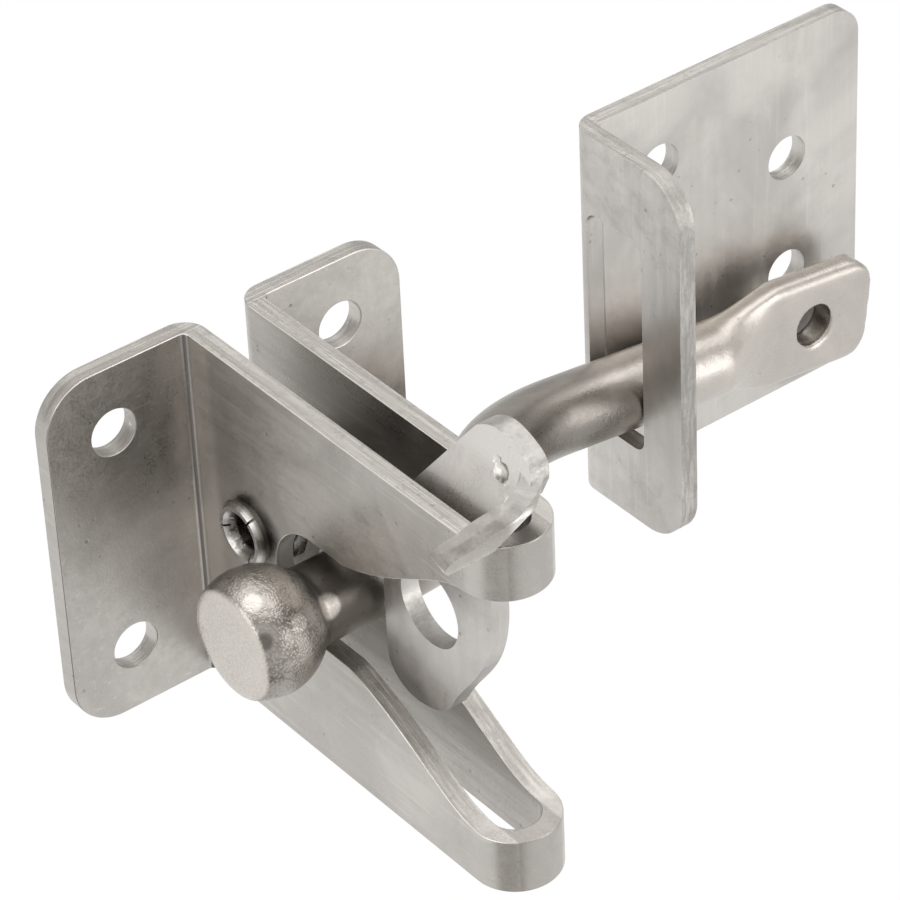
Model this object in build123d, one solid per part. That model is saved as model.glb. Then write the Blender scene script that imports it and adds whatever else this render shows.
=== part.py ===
from build123d import *
from math import cos, radians, sin, tan
import os

# Self-adjusting gate latch, all lengths in millimetres.
# X runs out of the post and gate face, Y from the latch to the guide, Z up.

# Stock
sheet = 3.0
bar_diameter = 12.0
bend_inside = 1.0

# Latch body, one hairpin of sheet
flange_height = 60.0
flange_width = 24.0
flange_corner = 8.0
gap_width = 7.6
nose_reach = 72.0
screw_hole = 7.5
latch_hole_inset = 13.0
latch_hole_rise = 19.0
mouth_height = 18.0
mouth_back = 21.5
mouth_flat_end = 37.5
mouth_flare_end = 57.0
mouth_flare = 18.0
mouth_open_end = 67.0
mouth_open = 21.0

# Pivot rivet
rivet_shank = 7.0
rivet_head = 12.0
rivet_head_height = 2.4
rivet_rim = 10.4
rivet_rim_height = 2.0
rivet_bore = 5.0
rivet_bore_depth = 7.5
rivet_crack_width = 0.35
rivet_crack_depth = 0.9
rivet_crack_turns = (35, 150, 265)
rivet_x = 15.5
rivet_z = 2.5
seat_clearance = 0.02
running_clearance = 0.07
spacer_diameter = 12.5

# Pawl
side_clearance = 0.05
pawl_boss_radius = 9.0
pawl_arm_low = 7.4
pawl_arm_high = 16.0
pawl_back_edge = 39.7
pawl_back_end = -6.4
pawl_arm_bend_x = 24.0
pawl_neck_width = 5.0
pawl_neck_rise = 1.3
ring_hole = 12.6
ring_x = 50.0
ring_z = 6.5
ring_outside = ((64.0, 13.0), (61.0, 1.9), (55.0, -6.7), (47.1, -12.2))
ring_corner = (41.8, -11.0)
ear_bend_z = 24.5
ear_lean = 17.0
ear_slant = 37.0
ear_root_left = 45.9
ear_root_right = 62.5
ear_top = 40.3
ear_top_x = 61.0
ear_left_top = 39.0
ear_right = 69.1
ear_shoulder = 36.0
ear_foot = 33.0
rest_clearance = 0.05
dimple_points = ((62.1, 36.0, 1.0), (63.3, 34.9, 1.6), (64.8, 33.9, 0.7))
dimple_ball = 3.0
tab_x = 69.0
tab_bend = 2.5
tab_rise = 5.7
tab_height = 3.8
tab_reach = 13.8
tab_point = 1.7
tab_slope = 0.35
tab_seat_end = -5.6

# Striker bar
front_leg_x = 32.0
front_leg_z = -0.2
ball_y = -17.6
ball_diameter = 19.2
ball_flat = 16.4
ball_edge = 0.8
rear_leg_x = 10.0
rear_leg_z = -11.1
bar_tilt = 7.0
joggle_front_y = 16.9
joggle_rear_y = 43.1
joggle_radius = 27.5
eye_y = 104.0
eye_hole = 7.0
flat_thickness = 4.8
flat_height = 18.0
flat_set_back = 0.8
flat_start = 8.5
flat_end = 11.5
flat_corner = 5.0
taper_length = 12.0

# Guide bracket
guide_y = 65.0
guide_height = 65.0
guide_plate_width = 55.0
guide_flange_depth = 25.0
guide_corner = 5.0
guide_nose_corner = 8.0
slot_clearance = 0.25
slot_length = 38.0
slot_corner = 2.2
guide_inner_hole_y = 15.0
guide_inner_hole_z = 20.0
guide_outer_hole_y = 40.5
guide_outer_hole_z = 10.5

# Sizes that follow from the ones above
half_width = gap_width / 2 + sheet
bend_middle = bend_inside + sheet / 2
web_middle = gap_width / 2 + sheet / 2
nose_x = nose_reach - half_width
tall = 2 * flange_height


def bent_strip(points_before, corner, points_after, height):
    """Sheet that bends once through a right angle, standing on its plan."""
    with BuildSketch() as plan:
        with BuildLine():
            FilletPolyline(points_before, corner, points_after, radius=bend_middle)
        trace(line_width=sheet)
    return extrude(plan.sketch, height / 2, both=True)


def hairpin():
    """The latch sheet seen from above: flange, web, nose, web, flange."""
    end = half_width + flange_width
    start_y = web_middle + bend_middle
    with BuildSketch() as plan:
        with BuildLine():
            for side in (-1, 1):
                Line((sheet / 2, side * end), (sheet / 2, side * start_y))
                centre = (sheet / 2 + bend_middle, side * start_y)
                RadiusArc(
                    (sheet / 2, side * start_y),
                    (centre[0], side * web_middle),
                    side * -bend_middle,
                )
                Line((centre[0], side * web_middle), (nose_x, side * web_middle))
            CenterArc((nose_x, 0), web_middle, -90, 180)
        trace(line_width=sheet)
    return extrude(plan.sketch, flange_height / 2, both=True)


def side_cutter():
    """The mouth: one tapered opening cut from the side through both webs."""
    half_mouth = mouth_height / 2
    beyond = nose_reach + 10
    centre = mouth_back + half_mouth
    with BuildSketch(Plane.XZ) as mouth:
        with BuildLine():
            for side in (-1, 1):
                Line((centre, side * half_mouth), (mouth_flat_end, side * half_mouth))
                Spline(
                    (mouth_flat_end, side * half_mouth),
                    (mouth_flare_end, side * mouth_flare),
                    (mouth_open_end, side * mouth_open),
                    tangents=((1, side * 0.25), (1, 0)),
                )
                Line((mouth_open_end, side * mouth_open), (beyond, side * mouth_open))
            Line((beyond, -mouth_open), (beyond, mouth_open))
            ThreePointArc((centre, -half_mouth), (mouth_back, 0), (centre, half_mouth))
        make_face()
    return extrude(mouth.sketch, tall, both=True)


def screw_cutter(points, diameter):
    """Round holes through plates that stand on the mounting face."""
    plane = Plane.YZ
    return Part() + [
        plane * Pos(y, z, 0) * Cylinder(diameter / 2, 4 * sheet) for y, z in points
    ]


def latch_holes(side):
    y = side * (half_width + latch_hole_inset)
    return [(y, latch_hole_rise), (y, -latch_hole_rise)]


def latch_body():
    width = 2 * (half_width + flange_width)
    outline = Plane.YZ * RectangleRounded(width, flange_height, flange_corner)
    body = hairpin() & extrude(outline, tall, both=True)
    body -= side_cutter()
    body -= screw_cutter(latch_holes(-1) + latch_holes(1), screw_hole)
    bore = Cylinder(rivet_shank / 2 + seat_clearance, tall)
    body -= Pos(rivet_x, 0, rivet_z) * Rot(90, 0, 0) * bore
    return body


def pivot_rivet():
    """Semi-tubular rivet: set head behind, rolled and cracked rim in front."""
    shank = rivet_shank / 2
    rim = rivet_rim / 2
    front = -half_width
    back = half_width
    face = front - rivet_rim_height
    with BuildSketch() as half:
        with BuildLine():
            Polyline(
                (0, back + rivet_head_height),
                (rivet_head / 2 - 2.2, back + rivet_head_height),
                (rivet_head / 2, back + 0.8),
                (rivet_head / 2, back + seat_clearance),
                (shank, back + seat_clearance),
                (shank, front - seat_clearance),
                (rim - 0.4, front - seat_clearance),
                (rim, front - 1.1),
                (rim - 0.7, face),
                (rim - 1.4, face),
                (rivet_bore / 2, face + 1.6),
                (rivet_bore / 2, face + rivet_bore_depth),
                (0, face + rivet_bore_depth + 1.2),
                close=True,
            )
        make_face()
    rivet = revolve(half.sketch, Axis.Y)
    for turn in rivet_crack_turns:
        crack = Box(rivet_crack_width, 2 * rivet_crack_depth, rim)
        rivet -= Rot(0, turn, 0) * Pos(0, face, rim) * crack
    return Pos(rivet_x, 0, rivet_z) * rivet


def spacer(side):
    """Washer that keeps the pawl in the middle of the gap."""
    thickness = gap_width / 2 - sheet / 2 - 2 * side_clearance
    ring = Cylinder(spacer_diameter / 2, thickness)
    ring -= Cylinder(rivet_shank / 2 + running_clearance, 2 * thickness)
    middle = side * (sheet / 2 + side_clearance + thickness / 2)
    return Pos(rivet_x, middle, rivet_z) * Rot(90, 0, 0) * ring


def pawl_plate():
    """Flat of the pawl between the webs: boss, arm, hanging ring and neck."""
    slant = tan(radians(ear_slant))
    neck_foot = ear_root_left - (ear_bend_z - pawl_arm_high) * slant
    with BuildSketch(Plane.XZ) as outline:
        with BuildLine():
            ring = Spline(
                (ear_root_right, ear_bend_z),
                *ring_outside,
                tangents=((0.15, -1), (-1, -0.12)),
            )
            tip = Spline(
                ring @ 1,
                ring_corner,
                (pawl_back_edge, pawl_back_end),
                tangents=((-1, -0.12), (0, 1)),
            )
            low = Polyline(
                tip @ 1,
                (pawl_back_edge, pawl_arm_low),
                (pawl_arm_bend_x, pawl_arm_low),
                (rivet_x + 0.4 * pawl_boss_radius, rivet_z - 0.917 * pawl_boss_radius),
            )
            boss = ThreePointArc(
                low @ 1,
                (rivet_x - pawl_boss_radius, rivet_z),
                (rivet_x, rivet_z + pawl_boss_radius),
            )
            Polyline(
                boss @ 1,
                (neck_foot + 1.0 - pawl_neck_width, pawl_arm_high),
                (neck_foot + 1.0, pawl_arm_high + pawl_neck_rise),
                (ear_root_left, ear_bend_z),
                ring @ 0,
            )
        make_face()
    plate = extrude(outline.sketch, sheet / 2, both=True)
    axis = Rot(90, 0, 0)
    plate -= Pos(ring_x, 0, ring_z) * axis * Cylinder(ring_hole / 2, tall)
    plate -= Pos(rivet_x, 0, rivet_z) * axis * Cylinder(rivet_shank / 2 + running_clearance, tall)
    return plate


def ear_profile():
    """Side view of the ear: it leans back over the rear web."""
    lean = radians(ear_lean)
    inside = sheet / 2
    outside = inside + sheet
    centre = (outside - sheet / 2, ear_bend_z)
    rise = (ear_top - ear_bend_z) / cos(lean)
    way = (sin(lean), cos(lean))

    def around(radius, angle):
        return (centre[0] - radius * cos(angle), centre[1] + radius * sin(angle))

    def beyond(point):
        return (point[0] + rise * way[0], point[1] + rise * way[1])

    front = around(outside, lean)
    back = around(inside, lean)
    with BuildSketch(Plane.YZ) as profile:
        with BuildLine():
            ThreePointArc(around(outside, 0), around(outside, lean / 2), front)
            Polyline(front, beyond(front), beyond(back), back)
            ThreePointArc(back, around(inside, lean / 2), around(inside, 0))
            Line(around(inside, 0), around(outside, 0))
        make_face()
    return profile.sketch


def leaning_plane():
    """Plane across the ear where it starts to lean, on its mid-thickness."""
    lean = radians(ear_lean)
    return Plane(
        origin=(0, sheet * (1 - cos(lean)), ear_bend_z + sheet * sin(lean)),
        x_dir=(1, 0, 0),
        z_dir=(0, sin(lean), cos(lean)),
    )


def pawl_ear():
    """Thumb ear, leaning back, with a slanting left edge and a round top."""
    slant = radians(ear_slant)
    web_top = flange_height / 2 + rest_clearance
    left_end = (ear_root_left + (ear_left_top - ear_bend_z) * tan(slant), ear_left_top)
    with BuildSketch(Plane.XZ) as outline:
        with BuildLine():
            Polyline(
                left_end,
                (ear_root_left, ear_bend_z),
                (ear_root_right, ear_bend_z),
                (ear_root_right + 1.0, web_top),
                (tab_x - tab_bend - sheet / 2, web_top),
                (tab_x - tab_bend - sheet / 2, ear_foot),
                (ear_right - 0.6, ear_foot + 0.6),
                (ear_right, ear_shoulder),
            )
            Spline(
                (ear_right, ear_shoulder),
                (ear_right - 3.3, ear_top - 1.0),
                (ear_top_x, ear_top),
                left_end,
                tangents=((-0.1, 1), (-1, -0.6)),
            )
        make_face()
    ear = extrude(ear_profile(), 2 * nose_reach)
    return ear & extrude(outline.sketch, tall, both=True)


def pawl_tab():
    """Right end of the ear, bent forward to rest across the front web."""
    low = flange_height / 2 + rest_clearance
    foot = leaning_plane()
    with BuildSketch(foot) as plan:
        with BuildLine():
            FilletPolyline(
                (ear_root_right, 0),
                (tab_x, 0),
                (tab_x, -2 * tab_reach),
                radius=tab_bend,
            )
        trace(line_width=sheet)
    with BuildSketch(Plane.YZ.offset(tab_x - sheet / 2)) as side:
        with BuildLine():
            edge = Spline(
                (2 * sheet, low + tab_rise + 0.9 * sheet),
                (0.4 * sheet, low + tab_rise + 0.5),
                (-0.4 * sheet, low + tab_height + 0.8),
                (-half_width, low + tab_height - 0.1),
                (1.4 * -half_width, low + tab_height - 0.8),
                (-tab_reach, low + tab_point),
                tangents=((-0.9, -0.4), (-0.6, -1)),
            )
            Polyline(
                edge @ 1,
                (-tab_reach + 0.6, low + 1.0),
                (-tab_reach + 5.5, low),
                (-tab_reach + 5.5, low - sheet),
                (tab_seat_end, low - sheet),
                (tab_seat_end, low + tab_slope * sheet),
                (0, low + tab_height),
                (2 * sheet, low + tab_height + 1.0),
                edge @ 0,
            )
        make_face()
    blank = extrude(plan.sketch, tall, both=True)
    blank &= Pos(tab_x, 0, low + tall / 2) * Box(nose_reach, nose_reach, tall)
    return blank & extrude(side.sketch, 4 * sheet, dir=(1, 0, -tab_slope), both=True)


def ear_dimple():
    """Struck mark on the ear's front face, three ball prints in a row."""
    foot = leaning_plane()
    lean = radians(ear_lean)
    mark = Part()
    for x, z, print_radius in dimple_points:
        height = (z - foot.origin.Z) / cos(lean)
        stand_off = sheet / 2 + (dimple_ball ** 2 - print_radius ** 2) ** 0.5
        mark += foot * Pos(x, -stand_off, height) * Sphere(dimple_ball)
    return mark


def pawl():
    return pawl_plate() + pawl_ear() + pawl_tab() - ear_dimple()


def striker_ball():
    """Ball end with a struck flat, centred on the origin, flat towards -Y."""
    radius = ball_diameter / 2
    depth = (radius ** 2 - ball_flat ** 2 / 4) ** 0.5
    ball = Sphere(radius) & Pos(0, radius - depth, 0) * Box(
        ball_diameter, ball_diameter, ball_diameter
    )
    return fillet(ball.edges().filter_by(GeomType.CIRCLE).sort_by(Axis.Y)[0], ball_edge)


def pressed_eye():
    """Flattened end with its hole, bar axis along Y, hole on the origin."""
    level = Plane(origin=(0, -flat_start - taper_length, 0), x_dir=(1, 0, 0), z_dir=(0, 1, 0))
    flat = Plane(origin=(-flat_set_back, -flat_start, 0), x_dir=(1, 0, 0), z_dir=(0, 1, 0))
    pressed = flat * RectangleRounded(flat_thickness, flat_height, flat_thickness / 2 - 0.5)
    taper = loft([(level * Circle(bar_diameter / 2)).face(), pressed.face()])
    length = flat_start + flat_end
    outline = Plane.YZ * Pos((flat_end - flat_start) / 2 - flat_height / 2, 0, 0)
    outline *= RectangleRounded(length + flat_height, flat_height, flat_corner)
    plate = extrude(pressed, length) & extrude(outline, tall, both=True)
    return taper + plate - Rot(0, 90, 0) * Cylinder(eye_hole / 2, tall)


def bar_path(points, radius):
    """Straight runs through the points, each corner turned on an arc."""
    with BuildLine() as path:
        here = Vector(*points[0])
        for before, corner, after in zip(points, points[1:], points[2:]):
            way_in = (Vector(*corner) - Vector(*before)).normalized()
            way_out = (Vector(*after) - Vector(*corner)).normalized()
            half_turn = radians(way_in.get_angle(way_out)) / 2
            length = radius * tan(half_turn)
            start = Vector(*corner) - way_in * length
            end = Vector(*corner) + way_out * length
            Line(here, start)
            TangentArc(start, end, tangent=way_in)
            here = end
        Line(here, Vector(*points[-1]))
    return path.line


def striker_bar():
    """Round bar with a joggle, level in the mouth and falling to the eye."""
    fall = tan(radians(bar_tilt))
    eye_z = rear_leg_z - (eye_y - guide_y) * fall
    taper_y = eye_y - (flat_start + taper_length) * cos(radians(bar_tilt))
    points = [
        (front_leg_x, ball_y, front_leg_z),
        (front_leg_x, joggle_front_y, front_leg_z),
        (rear_leg_x, joggle_rear_y, eye_z + (eye_y - joggle_rear_y) * fall),
        (rear_leg_x, taper_y, eye_z + (eye_y - taper_y) * fall),
    ]
    path = bar_path(points, joggle_radius)
    section = Plane(path @ 0, z_dir=path % 0) * Circle(bar_diameter / 2)
    bar = sweep(section, path=path)
    bar += Pos(front_leg_x, ball_y, front_leg_z) * striker_ball()
    bar += Pos(rear_leg_x, eye_y, eye_z) * Rot(-bar_tilt, 0, 0) * pressed_eye()
    return bar


def guide_bracket():
    """Angle of sheet: plate on the gate, slotted flange round the bar."""
    blank = bent_strip(
        (guide_flange_depth, guide_y + sheet / 2),
        (sheet / 2, guide_y + sheet / 2),
        (sheet / 2, guide_y + guide_plate_width),
        guide_height,
    )
    plate = Plane.YZ * Pos(guide_y + guide_plate_width / 2 - 10, 0, 0)
    plate *= RectangleRounded(guide_plate_width + 20, guide_height, guide_corner)
    flange = Plane.XZ * Pos(guide_flange_depth / 2 - 10, 0, 0)
    flange *= RectangleRounded(guide_flange_depth + 20, guide_height, guide_nose_corner)
    bracket = blank & extrude(plate, tall, both=True)
    bracket &= extrude(flange, 2 * (guide_y + guide_plate_width), both=True)
    slot_width = bar_diameter + 2 * slot_clearance
    slot = Plane.XZ * Pos(rear_leg_x, 0, 0)
    slot *= RectangleRounded(slot_width, slot_length, slot_corner)
    bracket -= Pos(0, guide_y, 0) * extrude(slot, 3 * sheet, both=True)
    inner = guide_y + guide_inner_hole_y
    outer = guide_y + guide_outer_hole_y
    points = [
        (inner, guide_inner_hole_z),
        (inner, -guide_inner_hole_z),
        (outer, guide_outer_hole_z),
        (outer, -guide_outer_hole_z),
    ]
    bracket -= screw_cutter(points, screw_hole)
    return bracket


os.makedirs("parts", exist_ok=True)
pieces = {
    "latch_body": latch_body(),
    "pivot_rivet": pivot_rivet(),
    "front_spacer": spacer(-1),
    "rear_spacer": spacer(1),
    "pawl": pawl(),
    "striker_bar": striker_bar(),
    "guide_bracket": guide_bracket(),
}
for name, piece in pieces.items():
    solids = piece.solids()
    print(name, len(solids), round(sum(s.volume for s in solids), 1), piece.bounding_box())
    export_step(solids[0] if len(solids) == 1 else piece, f"parts/{name}.step")
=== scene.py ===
import math

import bpy
from mathutils import Matrix, Vector


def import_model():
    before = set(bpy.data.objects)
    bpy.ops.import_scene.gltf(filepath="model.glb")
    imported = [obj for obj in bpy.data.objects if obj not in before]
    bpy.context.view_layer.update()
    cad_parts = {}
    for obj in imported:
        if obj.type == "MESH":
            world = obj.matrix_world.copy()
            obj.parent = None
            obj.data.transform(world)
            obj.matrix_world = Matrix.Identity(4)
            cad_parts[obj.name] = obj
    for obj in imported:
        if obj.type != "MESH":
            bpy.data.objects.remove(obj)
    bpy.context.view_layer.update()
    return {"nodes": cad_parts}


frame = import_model()
nodes = frame["nodes"]

MM = 0.001

# Camera, as the photograph sees the latch
CAMERA_AZIMUTH = 53.374
CAMERA_ELEVATION = 36.415
CAMERA_ROLL = -2.845
CAMERA_DISTANCE = 674.0 * MM
CAMERA_TARGET = Vector((5.27, 36.59, -10.36)) * MM
CAMERA_FOCAL_PIXELS = 4529.0
FRAME_PIXELS = 900.0
SENSOR_MM = 36.0

# Rounding that tumbling leaves on cut edges
SHEET_ROUNDING = 0.35 * MM
PAWL_ROUNDING = 0.95 * MM
RIVET_ROUNDING = 0.12 * MM
ROUNDING_STEPS = 3
ROUNDED_FROM_DEGREES = 40
FLAT_WITHIN_DEGREES = 1.0
WELD_DISTANCE = 0.002 * MM
BAR_VOXEL = 0.42 * MM
BAR_SMOOTHING = 14

# Metal colours, each as it looks where it is clean
LATCH_COLOUR = (0.570, 0.543, 0.510)
GUIDE_COLOUR = (0.615, 0.588, 0.556)
PAWL_COLOUR = (0.585, 0.560, 0.533)
BAR_COLOUR = (0.545, 0.510, 0.470)
RIVET_COLOUR = (0.60, 0.578, 0.553)

# Direction of marks: the small scale is the way they run
ALONG_X = (30, 1400, 200)
ALONG_Y = (1400, 30, 200)
GUIDE_ALONG_X = (30, 1300, 200)
GUIDE_ALONG_Y = (1300, 30, 200)

# Studio
FLOOR_SIZE = 6.0
FLOOR_Z = -150 * MM
FLOOR_WHITE = 0.97
CARD_SIZE = 0.24
CARD_PLACE = (0.20, -0.17, -0.148)
CARD_DARK = (0.34, 0.33, 0.32, 1)
CARD_LIGHT = (0.42, 0.41, 0.40, 1)
ROOM_LOW = (0.61, 0.60, 0.59, 1)
ROOM_HIGH = (0.79, 0.78, 0.77, 1)
LAMP_TARGET = (0.03, 0.03, 0.0)

# Each softbox by name, with its place, its width and height, and its watts
SOFTBOXES = (
    ("top_softbox", (-0.10, 0.25, 0.95), (1.3, 1.3), 6.5),
    ("left_softbox", (0.05, -0.95, 0.45), (0.9, 0.9), 3.6),
    ("right_softbox", (0.95, 0.55, 0.20), (0.6, 0.9), 3.8),
)

# Places of marks, painted shade and painted shadows on the metal, in millimetres
RIVET_FOOT = (16.8, -6.8, 3.2)
RIVET_BORE = (15.5, -7.4, 2.5)
WEB_ABOVE_RIVET = (12.0, -7.0, 8.0)
WEB_UNDER_ARM = (36.0, -6.8, -6.0)
FLANGE_SCUFF = (3, -14, 18)
PLATE_BEHIND_EYE = (3.0, 108.0, -23.0)
EAR_STRIKE = (63.3, 1.9, 34.9)
EYE_HOLE = (9.2, 104.0, -15.9)
BALL_CRESCENT = (38.8, -21.4, 4.2)

# Each glint on the ball and its neck, with the radii where it starts and stops fading
GLINTS = (
    ((35.2, -20.5, 8.3), 1.0, 1.7),
    ((39.7, -15.9, 5.2), 1.0, 1.5),
    ((37.1, -9.2, 2.9), 1.4, 2.2),
)


class Graph:
    """Short way to write a material's nodes."""

    def __init__(self, name):
        self.material = bpy.data.materials.new(name)
        self.material.use_nodes = True
        self.tree = self.material.node_tree
        self.tree.nodes.clear()
        self.output = self.node("ShaderNodeOutputMaterial")
        self.coords = self.node("ShaderNodeTexCoord").outputs["Object"]

    def node(self, kind, **settings):
        made = self.tree.nodes.new(kind)
        for key, value in settings.items():
            setattr(made, key, value)
        return made

    def put(self, socket, value):
        if isinstance(value, bpy.types.NodeSocket):
            self.tree.links.new(value, socket)
        else:
            socket.default_value = value

    def math(self, operation, a, b=0.0):
        made = self.node("ShaderNodeMath", operation=operation)
        self.put(made.inputs[0], a)
        self.put(made.inputs[1], b)
        return made.outputs[0]

    def ramp(self, value, low, high, out_low=0.0, out_high=1.0):
        """Smooth step of a value between two limits."""
        made = self.node("ShaderNodeMapRange", interpolation_type="SMOOTHSTEP")
        self.put(made.inputs["Value"], value)
        made.inputs["From Min"].default_value = low
        made.inputs["From Max"].default_value = high
        made.inputs["To Min"].default_value = out_low
        made.inputs["To Max"].default_value = out_high
        return made.outputs["Result"]

    def mix(self, factor, a, b):
        made = self.node("ShaderNodeMix", data_type="RGBA")
        self.put(made.inputs["Factor"], factor)
        self.put(made.inputs["A"], a)
        self.put(made.inputs["B"], b)
        return made.outputs["Result"]

    def stretched(self, scale):
        made = self.node("ShaderNodeMapping")
        self.put(made.inputs["Vector"], self.coords)
        made.inputs["Scale"].default_value = scale
        return made.outputs["Vector"]

    def noise(self, scale, detail=4.0, rough=0.55, vector=None, distortion=0.0):
        made = self.node("ShaderNodeTexNoise")
        self.put(made.inputs["Vector"], vector or self.coords)
        made.inputs["Scale"].default_value = scale
        made.inputs["Detail"].default_value = detail
        made.inputs["Roughness"].default_value = rough
        made.inputs["Distortion"].default_value = distortion
        return made.outputs["Fac"]

    def spots(self, scale, size):
        """Small round spots strewn over the metal."""
        made = self.node("ShaderNodeTexVoronoi")
        self.put(made.inputs["Vector"], self.coords)
        made.inputs["Scale"].default_value = scale
        return self.ramp(made.outputs["Distance"], size * 0.5, size, 1.0, 0.0)

    def part_of(self, vector, axis):
        parts = self.node("ShaderNodeSeparateXYZ")
        self.put(parts.inputs[0], vector)
        return parts.outputs[axis]

    def place(self, axis):
        return self.part_of(self.coords, axis)

    def facing(self, axis):
        """How squarely the face looks along an axis, either way."""
        normal = self.node("ShaderNodeNewGeometry").outputs["Normal"]
        return self.math("ABSOLUTE", self.part_of(normal, axis))

    def near(self, centre, inner, outer):
        """One at the centre, falling to nothing between two distances."""
        made = self.node("ShaderNodeVectorMath", operation="DISTANCE")
        self.put(made.inputs[0], self.coords)
        made.inputs[1].default_value = Vector(centre) * MM
        return self.ramp(made.outputs["Value"], inner * MM, outer * MM, 1.0, 0.0)

    def beyond(self, axis, start, full):
        """Rises from nothing to one between two places on an axis, either way."""
        if full > start:
            return self.ramp(self.place(axis), start * MM, full * MM)
        return self.ramp(self.place(axis), full * MM, start * MM, 1.0, 0.0)

    def times(self, first, *others):
        for other in others:
            first = self.math("MULTIPLY", first, other)
        return first

    def without(self, value):
        """What a value from nothing to one leaves over."""
        return self.math("SUBTRACT", 1.0, value)

    def either(self, first, *others):
        for other in others:
            first = self.math("MAXIMUM", first, other)
        return first


def shade(colour, factor):
    """The colour made brighter or darker, with no channel over white."""
    return [min(1.0, c * factor) for c in colour] + [1.0]


def streaks(g, scales, low=0.35, high=0.72, detail=4.0):
    """Marks drawn out along the axis that has the small scale."""
    return g.ramp(g.noise(1.0, detail, 0.65, g.stretched(scales)), low, high)


def steel(
    g,
    colour,
    roughness,
    grain,
    brush,
    brush_scales,
    stain_and_painted_shade,
    edge=None,
    edge_lines=None,
    rub_and_painted_sheen=None,
):
    """Tumbled stainless steel: clouds, brushing, grain, pits, sheared edges, stains that also
    carry painted shade, and a sheen of rubbing and painted highlights.
    """
    shader = g.node("ShaderNodeBsdfPrincipled")
    shader.inputs["Metallic"].default_value = 1.0

    cloud = g.noise(38.0, 4.0, 0.6, distortion=0.8)
    patch = g.noise(150.0, 5.0, 0.65)
    fine = g.noise(2400.0, 3.0, 0.7)
    lines = streaks(g, brush_scales)
    hairs = streaks(g, [scale * 1.7 for scale in brush_scales], 0.60, 0.70, 2.0)
    pits = g.times(g.spots(430.0, 0.17), g.ramp(patch, 0.50, 0.62))

    base = g.mix(g.ramp(cloud, 0.32, 0.68), shade(colour, 0.80), shade(colour, 1.06))
    base = g.mix(g.times(lines, 0.45 * brush), base, shade(colour, 0.74))
    base = g.mix(g.times(hairs, 0.50 * brush), base, shade(colour, 1.30))
    base = g.mix(g.times(g.ramp(patch, 0.50, 0.72), 0.30), base, shade(colour, 0.70))
    base = g.mix(g.times(pits, 0.60), base, shade(colour, 0.42))
    torn = g.noise(700.0, 5.0, 0.75, distortion=0.5)
    if edge is not None:
        tone = g.mix(edge_lines, shade(colour, 0.62), shade(colour, 1.02))
        tone = g.mix(g.times(g.ramp(torn, 0.50, 0.66), 0.5), tone, shade(colour, 0.50))
        base = g.mix(g.times(edge, 0.9), base, tone)
    browner = (colour[0], colour[1] * 0.95, colour[2] * 0.9)
    # Stains darken and brown the metal; this layer also carries painted shade.
    base = g.mix(stain_and_painted_shade, base, shade(browner, 0.26))
    # Sheen lightens the metal: rubbed wear and painted highlights.
    if rub_and_painted_sheen is not None:
        base = g.mix(rub_and_painted_sheen, base, shade(colour, 1.28))
    g.put(shader.inputs["Base Color"], base)

    rough = g.ramp(cloud, 0.3, 0.7, roughness - 0.05, roughness + 0.05)
    rough = g.math("ADD", rough, g.ramp(fine, 0.3, 0.7, -0.05, 0.06))
    rough = g.math("ADD", rough, g.ramp(lines, 0.0, 1.0, -0.02, 0.05))
    if edge is not None:
        rough = g.math("ADD", rough, g.times(edge, 0.10))
    g.put(shader.inputs["Roughness"], rough)

    height = g.times(fine, 0.45 * grain)
    height = g.math("ADD", height, g.times(lines, 0.30 * brush))
    height = g.math("ADD", height, g.times(patch, 0.9 * grain))
    height = g.math("SUBTRACT", height, g.times(pits, 0.9))
    if edge is not None:
        height = g.math("ADD", height, g.times(edge, torn, 2.2))
        height = g.math("ADD", height, g.times(edge, edge_lines, 1.4))
    bump = g.node("ShaderNodeBump")
    bump.inputs["Strength"].default_value = 0.55
    bump.inputs["Distance"].default_value = 0.00006
    g.put(bump.inputs["Height"], height)
    return shader, bump


def finish(g, shader, bump):
    g.put(shader.inputs["Normal"], bump.outputs["Normal"])
    g.put(g.output.inputs["Surface"], shader.outputs["BSDF"])
    return g.material


def dent(g, bump, height, depth):
    """A second, coarser relief laid under the fine one."""
    made = g.node("ShaderNodeBump")
    made.inputs["Strength"].default_value = 1.0
    made.inputs["Distance"].default_value = depth * MM
    g.put(made.inputs["Height"], height)
    g.put(bump.inputs["Normal"], made.outputs["Normal"])


def rim(g, on_plate):
    """The narrow rounding between a flat and its sheared edge, painted bright as a highlight.
    """
    plate_flat = g.times(on_plate, g.facing("X"))
    web_flat = g.times(g.without(on_plate), g.facing("Y"))
    return g.ramp(g.times(g.math("ADD", plate_flat, web_flat), g.facing("Z")), 0.20, 0.36)


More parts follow.
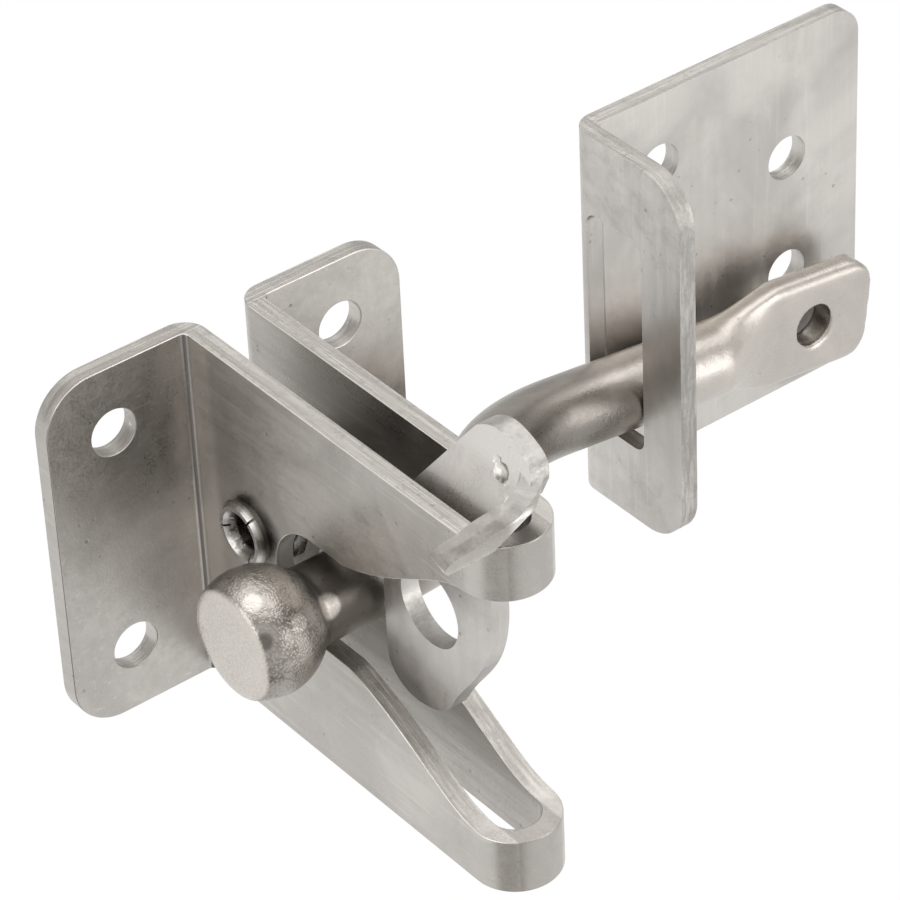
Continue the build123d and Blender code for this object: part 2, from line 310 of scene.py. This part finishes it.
def latch_material():
    """Satin sheet with painted shade by the fold, in the gap, round the rivet, above it and
    under the bar, and painted light beside the fold and at the nose.
    """
    g = Graph("latch_steel")
    edge = g.times(g.ramp(g.facing("Z"), 0.30, 0.55), g.beyond("X", 68.0, 60.0))
    on_flange = g.beyond("X", 4.0, 2.6)
    edge_lines = g.mix(on_flange, streaks(g, ALONG_X), streaks(g, ALONG_Y))
    outside = g.beyond("Y", -6.0, -7.0)
    cloudy = g.ramp(g.noise(70.0, 5.0, 0.65, distortion=0.7), 0.25, 0.62, 0.35, 1.0)
    upper = g.times(g.beyond("X", 3.4, 2.8), g.beyond("Z", -6.0, 14.0), outside, cloudy, 0.24)
    # Painted shade on the inner faces of the gap between the webs.
    painted_shade_in_gap = g.times(g.beyond("Y", -3.9, -3.6), g.beyond("Y", 4.0, 3.7), 0.35)
    # Painted shade along the inner line of the fold.
    folded = g.ramp(g.times(g.facing("X"), g.facing("Y")), 0.36, 0.48)
    painted_shade_in_fold = g.times(folded, g.beyond("X", 2.6, 2.9), outside, 0.90)
    # Painted light on a band of the web beside the fold.
    painted_light_beside_fold = g.times(g.beyond("X", 9.5, 7.0), g.beyond("X", 3.4, 4.6), outside)
    # Painted shade on the web above the rivet.
    painted_shade_above_rivet = g.times(g.near(WEB_ABOVE_RIVET, 3.0, 14.0), outside, 0.16)
    # Painted shadow round the base of the rivet.
    painted_shadow_round_rivet = g.times(g.near(RIVET_FOOT, 4.8, 7.4), outside, 0.70)
    # Painted shade on the web under the bar.
    under = g.times(g.near(WEB_UNDER_ARM, 5.0, 16.0), outside, 0.25)
    stain_and_painted_shade = g.either(upper, painted_shade_in_gap, painted_shade_in_fold, painted_shadow_round_rivet, under, painted_shade_above_rivet)
    scuffs = g.times(streaks(g, (900, 26, 900), 0.62, 0.70, 2.0), g.near(FLANGE_SCUFF, 4, 10))
    plain = g.without(g.ramp(g.facing("Z"), 0.3, 0.6))
    rub_and_painted_sheen = g.either(
        g.times(scuffs, 0.8),
        g.times(painted_light_beside_fold, plain, 0.9),
        # Painted light towards the nose.
        g.times(g.beyond("X", 60.0, 67.0), plain, 0.2),
        # Painted highlight on the rounded edges.
        rim(g, on_flange),
    )
    shader, bump = steel(
        g,
        LATCH_COLOUR,
        roughness=0.35,
        grain=1.0,
        brush=0.5,
        brush_scales=(25, 500, 620),
        stain_and_painted_shade=stain_and_painted_shade,
        edge=edge,
        edge_lines=edge_lines,
        rub_and_painted_sheen=rub_and_painted_sheen,
    )
    return finish(g, shader, bump)


def guide_material():
    """Satin sheet brushed upright, darker in a band across the slotted flange, with painted
    shade seen through the eye and painted highlights on the rounded edges.
    """
    g = Graph("guide_steel")
    slot_side = g.times(g.facing("X"), g.beyond("Y", 68.6, 68.0), g.beyond("X", 3.4, 4.2))
    edge = g.ramp(g.either(g.facing("Z"), slot_side), 0.40, 0.65)
    flange = g.beyond("Y", 69.0, 68.0)
    edge_lines = g.mix(flange, streaks(g, GUIDE_ALONG_Y), streaks(g, GUIDE_ALONG_X))
    blotch = g.ramp(g.noise(210.0, 6.0, 0.75, distortion=0.8), 0.45, 0.68)
    # A darker band across the slotted flange.
    flange_darker_band = g.times(g.beyond("Z", 22.0, 4.0), g.beyond("Z", -26.0, -12.0), flange, 0.22)
    # Painted shade on the plate seen through the bar's eye.
    painted_shade_behind_eye = g.times(g.near(PLATE_BEHIND_EYE, 5.0, 11.0), g.beyond("X", 2.0, 2.8), 0.95)
    stain_and_painted_shade = g.either(g.times(flange, blotch, 0.20), flange_darker_band, painted_shade_behind_eye)
    # Painted highlight on the rounded edges.
    rub_and_painted_sheen = rim(g, g.beyond("X", 4.0, 2.6))
    shader, bump = steel(
        g,
        GUIDE_COLOUR,
        roughness=0.38,
        grain=1.2,
        brush=0.32,
        brush_scales=(520, 520, 24),
        stain_and_painted_shade=stain_and_painted_shade,
        edge=edge,
        edge_lines=edge_lines,
        rub_and_painted_sheen=rub_and_painted_sheen,
    )
    return finish(g, shader, bump)


def pawl_material():
    """Smooth plate with rubbed edges, a rough struck mark, a darker tab, painted shade low on
    the arm and painted light on the ear's face.
    """
    g = Graph("pawl_steel")
    sideways = g.ramp(g.facing("Y"), 0.45, 0.75, 1.0, 0.0)
    upward = g.either(g.ramp(g.facing("Z"), 0.30, 0.55), g.beyond("Z", 33.0, 34.5))
    edge = g.times(sideways, upward)
    edge_lines = g.ramp(streaks(g, (160, 160, 1700)), 0.0, 1.0, 0.15, 0.55)
    on_tab = g.times(g.beyond("Y", 1.5, -4.0), g.ramp(g.facing("Z"), 0.3, 0.6), edge)
    torn_band = g.math("ADD", g.beyond("X", 68.2, 69.2), 0.25)
    torn = g.ramp(g.noise(330.0, 6.0, 0.7), 0.30, 0.66, 0.45, 0.70)
    rough_print = g.ramp(g.noise(900.0, 4.0, 0.7), 0.44, 0.56)
    struck = g.times(g.near(EAR_STRIKE, 1.2, 2.3), rough_print, 0.75)
    # Painted shade low on the arm, between the webs.
    shaded = g.times(g.beyond("Z", 29.0, 24.0), g.beyond("Z", 13.0, 17.0))
    painted_shade_low_on_arm = g.times(shaded, g.beyond("X", 63.0, 50.0), 0.62)
    # The tab darker.
    tab = g.times(g.beyond("Y", -1.5, -3.5), g.beyond("Z", 28.0, 31.0), 0.60)
    stain_and_painted_shade = g.either(g.times(on_tab, torn, torn_band), struck, painted_shade_low_on_arm, tab)
    # Painted light on the ear's face.
    squarely = g.ramp(g.facing("Y"), 0.80, 0.95)
    rub_and_painted_sheen = g.times(g.beyond("Z", 27.0, 33.0), squarely, g.without(tab), 0.9)
    shader, bump = steel(
        g,
        PAWL_COLOUR,
        roughness=0.34,
        grain=0.7,
        brush=0.3,
        brush_scales=(420, 420, 40),
        stain_and_painted_shade=stain_and_painted_shade,
        edge=edge,
        edge_lines=edge_lines,
        rub_and_painted_sheen=rub_and_painted_sheen,
    )
    hollow = g.times(g.beyond("Z", 37.0, 24.0), g.without(edge))
    dent(g, bump, hollow, 2.4)
    return finish(g, shader, bump)


def bar_material():
    """Forged bar: painted shade on the leg in the mouth and on the throat, grained on the
    ball, with a painted shadow and painted glints there, lighter towards the eye.
    """
    g = Graph("bar_steel")
    # Painted shade on the leg in the mouth, deepest on top.
    leg = g.times(g.beyond("Y", -14.0, -9.5), g.beyond("Y", 14.0, 4.0))
    height = g.place("Z")
    leg_painted_shade = g.ramp(height, -4.0 * MM, 2.5 * MM, 0.42, 0.92)
    # Painted shade on the throat, deepest underneath.
    throat = g.times(g.beyond("Y", 2.0, 20.0), g.beyond("Y", 64.0, 56.0))
    below = g.times(throat, g.ramp(height, -9.0 * MM, -3.0 * MM, 0.60, 0.42))
    round_part = g.beyond("Y", -22.5, -21.9)
    ball = g.times(g.beyond("Y", -9.0, -12.0), round_part)
    flat = g.beyond("Y", -21.9, -22.4)
    grains = g.node("ShaderNodeTexVoronoi", feature="F1")
    g.put(grains.inputs["Vector"], g.coords)
    grains.inputs["Scale"].default_value = 2500.0
    grain_shape = g.ramp(grains.outputs["Distance"], 0.15, 0.62)
    area = g.ramp(g.noise(150.0, 5.0, 0.7, distortion=0.4), 0.30, 0.66)
    speckle = g.times(grain_shape, area, 0.85)
    # Painted shade in the eye's hole.
    painted_shade_in_eye = g.times(g.near(EYE_HOLE, 3.3, 3.75), 0.96)
    # Painted shadow, a crescent on the ball.
    crescent = g.times(g.near(BALL_CRESCENT, 0.9, 2.0), round_part)
    stain_and_painted_shade = g.either(
        g.times(leg, leg_painted_shade),
        below,
        g.times(ball, speckle),
        g.times(speckle, 0.16),
        g.times(ball, 0.26),
        g.times(crescent, 0.85),
        painted_shade_in_eye,
    )
    lit = g.either(*[g.near(centre, inner, outer) for centre, inner, outer in GLINTS])
    # Lighter towards the eye, painted glints on the ball and neck, and a lighter flat face.
    rub_and_painted_sheen = g.either(
        g.times(g.beyond("Y", 68.0, 80.0), 0.32),
        g.times(lit, g.ramp(grain_shape, 0.0, 1.0, 1.0, 0.4)),
        g.times(flat, g.ramp(grain_shape, 0.4, 1.0, 0.80, 0.55)),
    )
    stain_and_painted_shade = g.times(stain_and_painted_shade, g.without(g.times(lit, 0.9)))
    shader, bump = steel(
        g,
        BAR_COLOUR,
        roughness=0.33,
        grain=1.6,
        brush=0.2,
        brush_scales=(300, 40, 300),
        stain_and_painted_shade=stain_and_painted_shade,
        rub_and_painted_sheen=rub_and_painted_sheen,
    )
    hammered = g.times(g.noise(300.0, 2.0, 0.5), g.math("ADD", g.times(ball, 0.5), 0.2))
    grain_relief = g.times(grain_shape, g.math("ADD", g.times(ball, 0.10), 0.012))
    dent(g, bump, g.math("ADD", hammered, grain_relief), 0.22)
    return finish(g, shader, bump)


def rivet_material():
    """Bright formed steel, with painted shade in the bore and painted shadow on the wall
    behind the rim.
    """
    g = Graph("rivet_steel")
    mottled = g.times(g.ramp(g.noise(500.0, 4.0, 0.7), 0.45, 0.65), 0.30)
    # Painted shadow on the rivet's wall behind the rim.
    painted_shadow_behind_rim = g.times(g.beyond("Y", -8.5, -8.0), g.beyond("Y", 0.0, -6.0), 0.75)
    # Painted shade in the bore.
    bore = g.times(g.near(RIVET_BORE, 1.6, 2.7), 0.6)
    stain_and_painted_shade = g.either(mottled, painted_shadow_behind_rim, bore)
    shader, bump = steel(
        g,
        RIVET_COLOUR,
        roughness=0.30,
        grain=1.0,
        brush=0.2,
        brush_scales=(300, 300, 300),
        stain_and_painted_shade=stain_and_painted_shade,
    )
    return finish(g, shader, bump)


def dress(node, material, rounding, flat=True):
    """Give a piece its finish and the small rounding of its edges."""
    piece = nodes[node]
    for slot in piece.material_slots:
        slot.material = material
    for polygon in piece.data.polygons:
        polygon.use_smooth = True
    if not flat:
        return
    weld = piece.modifiers.new("weld", "WELD")
    weld.merge_threshold = WELD_DISTANCE
    merged = piece.modifiers.new("one face on each flat", "DECIMATE")
    merged.decimate_type = "DISSOLVE"
    merged.angle_limit = math.radians(FLAT_WITHIN_DEGREES)
    if rounding:
        bevel = piece.modifiers.new("tumbled edges", "BEVEL")
        bevel.width = rounding
        bevel.segments = ROUNDING_STEPS
        bevel.limit_method = "ANGLE"
        bevel.angle_limit = math.radians(ROUNDED_FROM_DEGREES)
        bevel.use_clamp_overlap = True
    weighted = piece.modifiers.new("flat faces stay flat", "WEIGHTED_NORMAL")
    weighted.weight = 90


def soften(node, voxel, rounds):
    """Run the faces of a forged piece into each other."""
    piece = nodes[node]
    skin = piece.modifiers.new("one skin", "REMESH")
    skin.mode = "VOXEL"
    skin.voxel_size = voxel
    skin.use_smooth_shade = True
    flow = piece.modifiers.new("tumbled", "SMOOTH")
    flow.factor = 0.5
    flow.iterations = rounds


def materials():
    dress("latch_body", latch_material(), SHEET_ROUNDING)
    dress("guide_bracket", guide_material(), SHEET_ROUNDING)
    dress("pawl", pawl_material(), PAWL_ROUNDING)
    soften("striker_bar", BAR_VOXEL, BAR_SMOOTHING)
    dress("striker_bar", bar_material(), None, flat=False)
    rivet = rivet_material()
    dress("pivot_rivet", rivet, RIVET_ROUNDING)
    dress("front_spacer", rivet, None)
    dress("rear_spacer", rivet, None)


def dark_card():
    """Grey card just above the floor, seen only as a soft reflection."""
    bpy.ops.mesh.primitive_plane_add(size=CARD_SIZE, location=CARD_PLACE)
    card = bpy.context.object
    card.name = "dark_card"
    card.visible_camera = False
    g = Graph("dark_card")
    cloth = g.node("ShaderNodeBsdfDiffuse")
    g.put(cloth.inputs["Color"], g.mix(g.noise(400.0), CARD_DARK, CARD_LIGHT))
    g.put(g.output.inputs["Surface"], cloth.outputs[0])
    card.data.materials.append(g.material)


def stage():
    """White floor well below, which keeps the object's faint shadow."""
    bpy.ops.mesh.primitive_plane_add(size=FLOOR_SIZE, location=(0, 0, FLOOR_Z))
    floor = bpy.context.object
    floor.name = "floor"
    g = Graph("white_floor")
    path = g.node("ShaderNodeLightPath")
    white = g.node("ShaderNodeEmission")
    white.inputs["Strength"].default_value = 1.0
    paper = g.node("ShaderNodeBsdfDiffuse")
    paper.inputs["Color"].default_value = (0.9, 0.9, 0.9, 1)
    seen = g.math("MAXIMUM", path.outputs["Is Camera Ray"], path.outputs["Is Glossy Ray"])
    seen = g.math("MAXIMUM", seen, path.outputs["Is Transmission Ray"])
    blend = g.node("ShaderNodeMixShader")
    g.put(blend.inputs[0], g.math("MULTIPLY", seen, FLOOR_WHITE))
    g.put(blend.inputs[1], paper.outputs[0])
    g.put(blend.inputs[2], white.outputs[0])
    g.put(g.output.inputs["Surface"], blend.outputs[0])
    floor.data.materials.append(g.material)


def world():
    """Soft room, a little brighter above than below."""
    made = bpy.data.worlds.new("studio")
    bpy.context.scene.world = made
    made.use_nodes = True
    tree = made.node_tree
    tree.nodes.clear()
    out = tree.nodes.new("ShaderNodeOutputWorld")
    back = tree.nodes.new("ShaderNodeBackground")
    coords = tree.nodes.new("ShaderNodeTexCoord")
    split = tree.nodes.new("ShaderNodeSeparateXYZ")
    tree.links.new(coords.outputs["Generated"], split.inputs[0])
    ramp = tree.nodes.new("ShaderNodeValToRGB")
    tree.links.new(split.outputs["Z"], ramp.inputs["Fac"])
    ramp.color_ramp.elements[0].position = 0.0
    ramp.color_ramp.elements[0].color = ROOM_LOW
    ramp.color_ramp.elements[1].position = 1.0
    ramp.color_ramp.elements[1].color = ROOM_HIGH
    tree.links.new(ramp.outputs["Color"], back.inputs["Color"])
    back.inputs["Strength"].default_value = 1.0
    tree.links.new(back.outputs[0], out.inputs["Surface"])


def area_light(name, place, size, watts):
    """A softbox that looks at the latch."""
    data = bpy.data.lights.new(name, "AREA")
    data.shape = "RECTANGLE"
    data.size, data.size_y = size
    data.energy = watts
    lamp = bpy.data.objects.new(name, data)
    bpy.context.scene.collection.objects.link(lamp)
    lamp.location = place
    towards = Vector(LAMP_TARGET) - Vector(place)
    lamp.rotation_euler = towards.to_track_quat("-Z", "Y").to_euler()


def camera():
    """The photograph's camera, fitted to its straight edges and hole centres."""
    azimuth = math.radians(CAMERA_AZIMUTH)
    elevation = math.radians(CAMERA_ELEVATION)
    roll = math.radians(CAMERA_ROLL)
    away = Vector((math.sin(azimuth), -math.cos(azimuth), 0))
    back = away * math.cos(elevation) + Vector((0, 0, math.sin(elevation)))
    right = Vector((math.cos(azimuth), math.sin(azimuth), 0))
    up = back.cross(right)
    turned_right = right * math.cos(roll) + up * math.sin(roll)
    turned_up = up * math.cos(roll) - right * math.sin(roll)
    data = bpy.data.cameras.new("camera")
    data.sensor_width = SENSOR_MM
    data.sensor_height = SENSOR_MM
    data.lens = CAMERA_FOCAL_PIXELS / FRAME_PIXELS * SENSOR_MM
    data.clip_start = 0.01
    data.clip_end = 20
    made = bpy.data.objects.new("camera", data)
    bpy.context.scene.collection.objects.link(made)
    place = CAMERA_TARGET + back * CAMERA_DISTANCE
    made.matrix_world = Matrix.Translation(place) @ Matrix(
        (
            (turned_right.x, turned_up.x, back.x, 0),
            (turned_right.y, turned_up.y, back.y, 0),
            (turned_right.z, turned_up.z, back.z, 0),
            (0, 0, 0, 1),
        )
    )
    bpy.context.scene.camera = made


bpy.context.scene.view_settings.view_transform = "Standard"
materials()
stage()
dark_card()
world()
for softbox in SOFTBOXES:
    area_light(*softbox)
camera()

bpy.context.view_layer.update()
